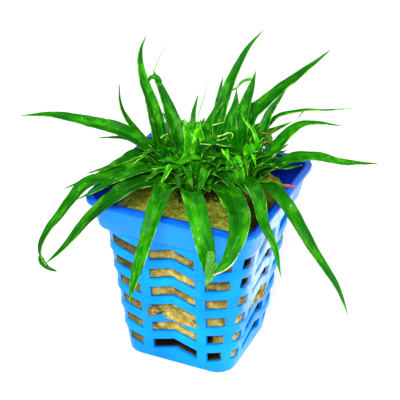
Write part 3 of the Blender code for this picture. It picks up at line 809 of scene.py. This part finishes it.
def pot_plastic():
    """Azure plastic with flow marks, painted shade that makes the lip deeper blue and the inside navy, and a
    pale streaky painted highlight on its lit right wall.
    """
    made, tree, shader, place = blank_material("pot plastic")
    cloud = put(tree, "ShaderNodeTexNoise", place, None, 60.0, 3.0, 0.5).outputs["Fac"]
    colour = ramp(tree, cloud, (0.3, (0.0, 0.18, 0.66)), (0.55, (0.0, 0.235, 0.8)), (0.75, (0.0, 0.32, 0.92)))
    spot = put(tree, "ShaderNodeSeparateXYZ", place).outputs
    # Painted highlight: a pale streaky patch mixed into the right wall's colour
    from_middle = calc(tree, "ABSOLUTE", calc(tree, "ADD", spot[1], HIGHLIGHT_SHIFT * MM))
    wide = put(tree, "ShaderNodeMapRange", from_middle, HIGHLIGHT_EDGE * MM, HIGHLIGHT_HALF * MM).outputs[0]
    right = put(tree, "ShaderNodeMapRange", spot[0], 14 * MM, 20 * MM).outputs[0]
    high = put(tree, "ShaderNodeMapRange", spot[2], HIGHLIGHT_FOOT * MM, (HIGHLIGHT_FOOT + 10) * MM).outputs[0]
    streaky = put(tree, "ShaderNodeMapping", place)
    streaky.inputs["Scale"].default_value = (90.0, 260.0, 60.0)
    streaks = put(tree, "ShaderNodeTexNoise", streaky.outputs[0], None, 1.0, 4.0, 0.6).outputs["Fac"]
    painted_highlight = calc(tree, "MULTIPLY", calc(tree, "MULTIPLY", right, wide), high)
    painted_highlight = calc(tree, "MULTIPLY", painted_highlight, ramp(tree, streaks, (0.35, (0.25,) * 3), (0.6, (0.8,) * 3)))
    colour = blend_colours(tree, painted_highlight, colour, (0.46, 0.64, 0.97))
    # Painted shade: the band at the top of the lip is mixed towards a deep blue
    lip_shade = put(tree, "ShaderNodeMapRange", spot[2], LIP_LOW, LIP_HIGH).outputs[0]
    colour = blend_colours(tree, lip_shade, colour, (0.0, 0.1, 0.6))
    # Painted shade: the inner walls above the collar's foot are mixed towards navy
    inside = put(tree, "ShaderNodeMapRange", collar_depth(tree, spot), 0.5 * MM, 0.8 * MM).outputs[0]
    above = put(tree, "ShaderNodeMapRange", spot[2], COLLAR_FOOT, COLLAR_FOOT + MM).outputs[0]
    colour = blend_colours(tree, calc(tree, "MULTIPLY", inside, above), colour, (0.0, 0.02, 0.36))
    tree.links.new(colour, shader.inputs["Base Color"])
    grain = put(tree, "ShaderNodeTexNoise", place, None, 900.0, 2.0, 0.6).outputs["Fac"]
    tree.links.new(ramp(tree, grain, (0.3, (0.18,) * 3), (0.7, (0.3,) * 3)), shader.inputs["Roughness"])
    shader.inputs["Specular IOR Level"].default_value = 0.08
    waves = put(tree, "ShaderNodeTexNoise", place, None, 140.0, 2.0, 0.5).outputs["Fac"]
    bump = put(tree, "ShaderNodeBump", 0.12, 0.0003)
    tree.links.new(waves, bump.inputs["Height"])
    tree.links.new(bump.outputs[0], shader.inputs["Normal"])
    return made


POT_PLASTIC = pot_plastic()
print("pot plastic made")


# %% Pot shell
def welded_copy(node, name, look):
    """A copy of a frame node with its triangles welded and its flat faces joined."""
    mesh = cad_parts[node].data.copy()
    mesh.name = name
    bm = bmesh.new()
    bm.from_mesh(mesh)
    bmesh.ops.remove_doubles(bm, verts=bm.verts, dist=0.004 * MM)
    bmesh.ops.dissolve_limit(bm, angle_limit=radians(1), verts=bm.verts, edges=bm.edges)
    for face in bm.faces:
        face.smooth = True
    bm.to_mesh(mesh)
    bm.free()
    mesh.materials.clear()
    mesh.materials.append(look)
    return link(name, mesh)


pot_shell = welded_copy("pot", "pot_shell", POT_PLASTIC)
rounding = pot_shell.modifiers.new("rounding", "BEVEL")
rounding.width = 0.3 * MM
rounding.segments = 2
rounding.limit_method = "ANGLE"
rounding.angle_limit = radians(35)
rounding.harden_normals = True
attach(pot_shell, "root")
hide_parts("pot")
print("pot shell has", len(pot_shell.data.polygons), "faces")

# %% [markdown]
# Between the rows of slots, moulded ribs run all the way round in a zigzag. A curve goes round the tapered
# wall for each rib, and one tree sweeps a bar with round edges along them all.

# %% Ribs round the basket
BASE_HALF = 18.5
WALL_SLOPE = 0.115
WALL = 1.2
SLOT_ROWS = 6
FIRST_SLOT = 4.0
ROW_PITCH = 7.25
SLOT_HEIGHT = 4.0
CHEVRON_HALF = 7.8
CHEVRON_RISE = 2.6
BAR = 3.4
POST = 3.3
RIB_PROUD = 0.38
RIB_HALF = 1.45


def body_half(z):
    """Half the pot's outer width at a height."""
    return BASE_HALF + WALL_SLOPE * z


def zigzag(across):
    """How far the slots and ribs rise at a place across a face."""
    slope = CHEVRON_RISE / CHEVRON_HALF
    valley = CHEVRON_HALF + BAR / 2
    return CHEVRON_RISE - slope * valley + slope * abs(valley - abs(across))


def square_ring(half, radius, per_side, per_corner):
    """Points round a square with round corners, against the clock."""
    points = []
    for quarter in range(4):
        turned = Matrix.Rotation(quarter * pi / 2, 2)
        straight = half - radius
        for step in range(per_side):
            points.append(turned @ Vector((half, straight * (2 * step / per_side - 1))))
        for step in range(per_corner):
            angle = pi / 2 * step / per_corner
            points.append(turned @ Vector((straight + radius * cos(angle), straight + radius * sin(angle))))
    return points


def rib_paths():
    """One closed curve round the wall for each rib."""
    curve = bpy.data.curves.new("rib_paths", "CURVE")
    curve.dimensions = "3D"
    for row in range(SLOT_ROWS - 1):
        level = FIRST_SLOT + row * ROW_PITCH + (ROW_PITCH + SLOT_HEIGHT) / 2
        ring = square_ring(body_half(level), CORNER, 24, 8)
        path = curve.splines.new("POLY")
        path.points.add(len(ring) - 1)
        path.use_cyclic_u = True
        for point, spot in zip(path.points, ring):
            rise = zigzag(min(abs(spot.x), abs(spot.y)))
            out = 1 + WALL_SLOPE * rise / body_half(level)
            point.co = (spot.x * out * MM, spot.y * out * MM, (level + rise) * MM, 1)
    return link("rib_paths", curve)


def rib_tree():
    """A bar with round edges swept along closed curves."""
    sockets = (("Paths", "Geometry"), ("Proud", "Float"), ("Half Height", "Float"), ("Edge", "Float"))
    tree, given, exit_node = open_tree("moulded rib", sockets)
    upright = put(tree, "GeometryNodeSetCurveNormal", given["Paths"], mode="Z_UP").outputs[0]
    thick = calc(tree, "MULTIPLY", given["Proud"], 2.0)
    tall = calc(tree, "MULTIPLY", given["Half Height"], 2.0)
    square = put(tree, "GeometryNodeCurvePrimitiveQuadrilateral", thick, tall).outputs[0]
    bar = put(tree, "GeometryNodeFilletCurve", mode="POLY")
    tree.links.new(square, bar.inputs["Curve"])
    bar.inputs["Count"].default_value = 3
    tree.links.new(given["Edge"], bar.inputs["Radius"])
    swept = put(tree, "GeometryNodeCurveToMesh", upright, bar.outputs[0]).outputs[0]
    close_tree(tree, exit_node, swept, POT_PLASTIC)
    return tree


ribs = baked(rib_paths(), rib_tree(),
             {"Proud": RIB_PROUD * MM, "Half Height": RIB_HALF * MM, "Edge": 0.42 * MM}, "pot_ribs")
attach(ribs, "root")
print("ribs have", len(ribs.data.polygons), "faces")

# %% [markdown]
# ## Rock wool
#
# The wool is one block of tan mineral fibre. Its sides are a fine skin that swells into every slot and hangs
# back where a slot is empty, and its top rounds off under the plant. Noise gives the matted, torn surface.

# %% Wool material
def wool_matter():
    """Tan mineral fibre: matted strands, brown patches and dark specks."""
    made, tree, shader, place = blank_material("rock wool")
    strands = put(tree, "ShaderNodeTexNoise", place, None, 420.0, 5.0, 0.65).outputs["Fac"]
    patches = put(tree, "ShaderNodeTexNoise", place, None, 90.0, 4.0, 0.6).outputs["Fac"]
    specks = put(tree, "ShaderNodeTexVoronoi", place, None, 700.0).outputs["Distance"]
    tan = ramp(tree, strands, (0.34, (0.12, 0.07, 0.008)), (0.5, (0.34, 0.26, 0.05)),
               (0.66, (0.66, 0.54, 0.19)))
    warm = ramp(tree, patches, (0.4, (0.18, 0.11, 0.015)), (0.55, (0.4, 0.32, 0.06)),
                (0.7, (0.34, 0.36, 0.05)))
    body = blend_colours(tree, 0.4, tan, warm)
    dots = ramp(tree, specks, (0.08, (1, 1, 1)), (0.2, (0, 0, 0)))
    body = blend_colours(tree, calc(tree, "MULTIPLY", dots, 0.5), body, (0.1, 0.05, 0.015))
    height = put(tree, "ShaderNodeSeparateXYZ", place).outputs[2]
    top = put(tree, "ShaderNodeMapRange", height, 49 * MM, 53 * MM).outputs[0]
    algae = blend_colours(tree, 1.0, body, (0.85, 1.35, 0.55), "MULTIPLY")
    body = blend_colours(tree, top, body, algae)
    # Painted shade: this attribute darkens the wool nearly to black in hollow slots, at the top of each slot,
    # in slots on the shaded side and in a patch on top; it also carries random damp mottling
    shade_and_damp = put(tree, "ShaderNodeAttribute", attribute_name="shade_and_damp").outputs["Fac"]
    body = blend_colours(tree, shade_and_damp, body, (0.012, 0.006, 0.002))
    tree.links.new(body, shader.inputs["Base Color"])
    shader.inputs["Roughness"].default_value = 0.95
    shader.inputs["Specular IOR Level"].default_value = 0.1
    bump = put(tree, "ShaderNodeBump", 0.8, 0.0006)
    tree.links.new(strands, bump.inputs["Height"])
    tree.links.new(bump.outputs[0], shader.inputs["Normal"])
    return made


ROCK_WOOL = wool_matter()
print("rock wool made")


# %% Wool block
def smooth_step(low, high, value):
    """A soft step from nought to one."""
    share = min(1.0, max(0.0, (value - low) / (high - low)))
    return share * share * (3 - 2 * share)


SAG = 2.4


def slot_share(face, across, z):
    """Which slot lies at a place on a face, how far inside its edge it is and how far up, in millimetres."""
    base = z - zigzag(across) - FIRST_SLOT
    row = int((base + SAG) // ROW_PITCH)
    height = base - row * ROW_PITCH
    if not 0 <= row < SLOT_ROWS:
        return None, 0.0, 0.0
    depth = min(height, SLOT_HEIGHT - height)
    if abs(across) < CHEVRON_HALF + BAR / 2:
        return (face, 0, row), min(depth, CHEVRON_HALF - abs(across)), height
    inner = abs(across) - CHEVRON_HALF - BAR
    outer = body_half(z) - POST - abs(across)
    return (face, 1 if across > 0 else -1, row), min(depth, inner, outer), height


# Slots where the wool has sunk back, by face, column and row
HOLLOWS = (("front", 0, 0), ("front", 1, 0), ("front", 1, 1), ("right", -1, 5), ("right", -1, 4),
           ("back", -1, 1), ("left", 0, 0), ("left", 1, 3))
# A hollow slot that the wool still half fills, and how far across it begins there
WOOL_FROM = {("front", 1, 1): 13.4}
# Columns of the right wall where the wool keeps back from the slots, and the slots there that it fills
SHY_COLUMNS = (("right", 0), ("right", 1))
BOLD_SLOTS = (("right", 0, 2), ("right", 1, 4))
SHY_DEPTH = 1.5
# Slots whose wool is painted dark, as painted shade, and how dark
SHADED_SLOTS = {("front", -1, 5): 0.8, ("front", -1, 4): 0.75, ("front", -1, 3): 0.7, ("front", -1, 2): 0.65,
        ("front", -1, 1): 0.65, ("front", -1, 0): 0.7, ("front", 0, 5): 0.3, ("front", 1, 5): 0.8,
        ("front", 1, 4): 0.5, ("front", 1, 3): 0.25, ("front", 1, 2): 0.25, ("front", 1, 1): 0.4,
        ("right", -1, 3): 0.5}
SIDE_STEPS = 80
WOOL_RADIUS = CORNER - 1.5
WOOL_FOOT = 1.75
SHOULDER = 47.25
TOP_HALF = 16.5
TOP_RISE = 7.25
WOOL_LEAN = Vector((-1.5, -1.5, 0))

# Centre and height of a mound of loose wool behind the right crown, and its radius
MOUND = Vector((17, 17, 3.0))
MOUND_RADIUS = 7.0
# Middle and radius of a dark patch of painted shadow on top, by the right wall
SHADOW_SPOT = Vector((21, -2))
SHADOW_RADIUS = 15.0


def wool_push(spot, z):
    """How far the wool stands out at a place on its side, how bare it is there and how dark it is painted
    with shade and damp.
    """
    if abs(spot.x) > abs(spot.y):
        face, across = ("right" if spot.x > 0 else "left"), spot.y * (1 if spot.x > 0 else -1)
    else:
        face, across = ("front" if spot.y < 0 else "back"), spot.x * (1 if spot.y < 0 else -1)
    slot, depth, height = slot_share(face, across, z)
    place = Vector((spot.x, spot.y, z))
    rough = noise.noise(place * 0.45) + 0.5 * noise.noise(place * 1.3)
    inside = smooth_step(0.05, 0.6, depth)
    # Painted shade: in a hollow slot the wool sinks back and is painted dark
    if slot in HOLLOWS and across + 0.4 * rough < WOOL_FROM.get(slot, 99.0):
        return -5.0 * smooth_step(-SAG, 0.0, depth), 0.0, smooth_step(-SAG, -SAG / 2, depth)
    loose = smooth_step(0.6, 1.3, depth)
    # Painted shade: on the right wall the wool keeps back and is painted a little dark
    if slot and slot[:2] in SHY_COLUMNS and slot not in BOLD_SLOTS:
        return -SHY_DEPTH * smooth_step(-SAG, 0.0, depth), 0.0, 0.3 * inside
    sunk = smooth_step(0.55, 1.0, height / SLOT_HEIGHT)
    push = inside * (1.4 + 0.5 * rough) * (1 - 0.8 * sunk)
    # Painted shade at the top of each slot and in the listed slots, with random damp mottling from murk
    murk = smooth_step(0.05, 0.45, noise.noise(place * 0.32 + Vector((7, 0, 0))))
    shade_and_dampness = SHADED_SLOTS.get(slot, 0.0) + 0.45 * murk + 0.5 * sunk
    return push, loose, min(0.9, shade_and_dampness) * inside


def wool_block():
    """The wool's skin: fine rings up the walls, then over the rounded top, with what each point carries."""
    bm = bmesh.new()
    bare = bm.verts.layers.float.new("bare")
    shade_and_damp = bm.verts.layers.float.new("shade_and_damp")
    rings = []
    for step in range(114):
        z = WOOL_FOOT + (SHOULDER - WOOL_FOOT) * step / 114
        ring = []
        for spot in square_ring(body_half(z) - WALL - 0.35, WOOL_RADIUS, SIDE_STEPS, 10):
            push, bareness, shade_and_dampness = wool_push(spot, z)
            out = spot * (1 + push / spot.length)
            vert = bm.verts.new(Vector((out.x, out.y, z)) * MM)
            vert[bare] = bareness
            vert[shade_and_damp] = shade_and_dampness
            ring.append(vert)
        rings.append(ring)
    shoulder_half = body_half(SHOULDER) - WALL - 0.35
    for step in range(15):
        t = step / 14
        z = SHOULDER + TOP_RISE * sin(t * pi / 2)
        half = shoulder_half * (1 - t) + TOP_HALF * t + 2.4 * sin(t * pi)
        rings.append([bm.verts.new((Vector((*spot, z)) + WOOL_LEAN * t) * MM)
                      for spot in square_ring(half, WOOL_RADIUS, SIDE_STEPS, 10)])
    centre = WOOL_LEAN * MM + Vector((0, 0, (SHOULDER + TOP_RISE) * MM))
    rim = [vert.co.copy() for vert in rings[-1]]
    for step in range(1, 30):
        rings.append([bm.verts.new(spot.lerp(centre, step / 30)) for spot in rim])
    for low, high in zip(rings, rings[1:]):
        for index, corner in enumerate(low):
            after = (index + 1) % len(low)
            bm.faces.new((corner, low[after], high[after], high[index]))
    bm.faces.new(rings[-1])
    bm.faces.new(list(reversed(rings[0])))
    for vert in bm.verts:
        place = vert.co / MM
        if place.z > SHOULDER + 0.5:
            lumps = 0.7 * noise.noise(place * 0.3) + 0.45 * noise.noise(place * 0.9)
            away = (place.xy - MOUND.xy).length / MOUND_RADIUS
            mound = MOUND.z * (1 - smooth_step(0.3, 1.0, away))
            vert.co.z += (lumps + 0.25 * noise.noise(place * 2.3) + mound) * MM
            vert[bare] = 0.7
            # Painted shadow: a dark patch on top by the right wall
            vert[shade_and_damp] = 0.9 * (1 - smooth_step(0.4, 1.0, (place.xy - SHADOW_SPOT).length / SHADOW_RADIUS))
    for face in bm.faces:
        face.smooth = True
    mesh = bpy.data.meshes.new("wool")
    bm.to_mesh(mesh)
    bm.free()
    return link("wool", mesh)


fluff = {"Density": 0.5 / MM ** 2, "Length": 0.9 * MM, "Thickness": 0.06 * MM, "Lean": 1.5, "Seed": 4}
wool = baked(wool_block(), fibre_tree("loose wool", ROCK_WOOL), fluff, "wool_block")
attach(wool, "root")
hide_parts("wool_plug")
print("wool block has", len(wool.data.polygons), "faces")


# %% Burst of wool
BURST_ROW = 2
# Quarter turns from the front, place across, drop, half width, depth and height in millimetres, and damp
BURSTS = (
    (0, 2.5, 2.0, (6.3, 1.4, 2.5), 0.0),
    (0, -6.8, 0.6, (2.5, 1.3, 2.0), 0.35),
    (1, 2.6, 1.8, (4.8, 1.1, 1.7), 0.15),
)


def wool_burst():
    """Torn tufts of wool that hang out of their chevron slots, over the bar below."""
    bm = bmesh.new()
    bare = bm.verts.layers.float.new("bare")
    shade_and_damp = bm.verts.layers.float.new("shade_and_damp")
    for quarter, middle, drop, half, wet in BURSTS:
        tuft = bmesh.ops.create_icosphere(bm, subdivisions=5, radius=1.0)["verts"]
        level = FIRST_SLOT + BURST_ROW * ROW_PITCH + SLOT_HEIGHT / 2 - drop
        for vert in tuft:
            spot = vert.co.copy()
            drift = spot + Vector((middle, quarter, 0))
            ragged = 1 + 0.2 * noise.noise(drift * 2.2) + 0.14 * noise.noise(drift * 6)
            x = middle + half[0] * spot.x * (1 + 0.08 * noise.noise(drift * 4))
            slim = 1 - 0.55 * max(0.0, spot.x)
            z = level + zigzag(x) + half[2] * spot.z * ragged * slim
            out = half[1] * spot.y * ragged - body_half(z) - 0.1
            vert.co = Matrix.Rotation(quarter * pi / 2, 3, "Z") @ Vector((x, out, z)) * MM
            vert[bare] = 1.0
            vert[shade_and_damp] = wet + 0.5 * smooth_step(0.1, 0.4, noise.noise(drift * 2.6 + Vector((3, 0, 0))))
    mesh = bpy.data.meshes.new("burst")
    bm.to_mesh(mesh)
    bm.free()
    return link("burst", mesh)


burst = baked(wool_burst(), fibre_tree("torn wool", ROCK_WOOL), fluff, "wool_burst")
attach(burst, "root")
print("burst of wool has", len(burst.data.polygons), "faces")
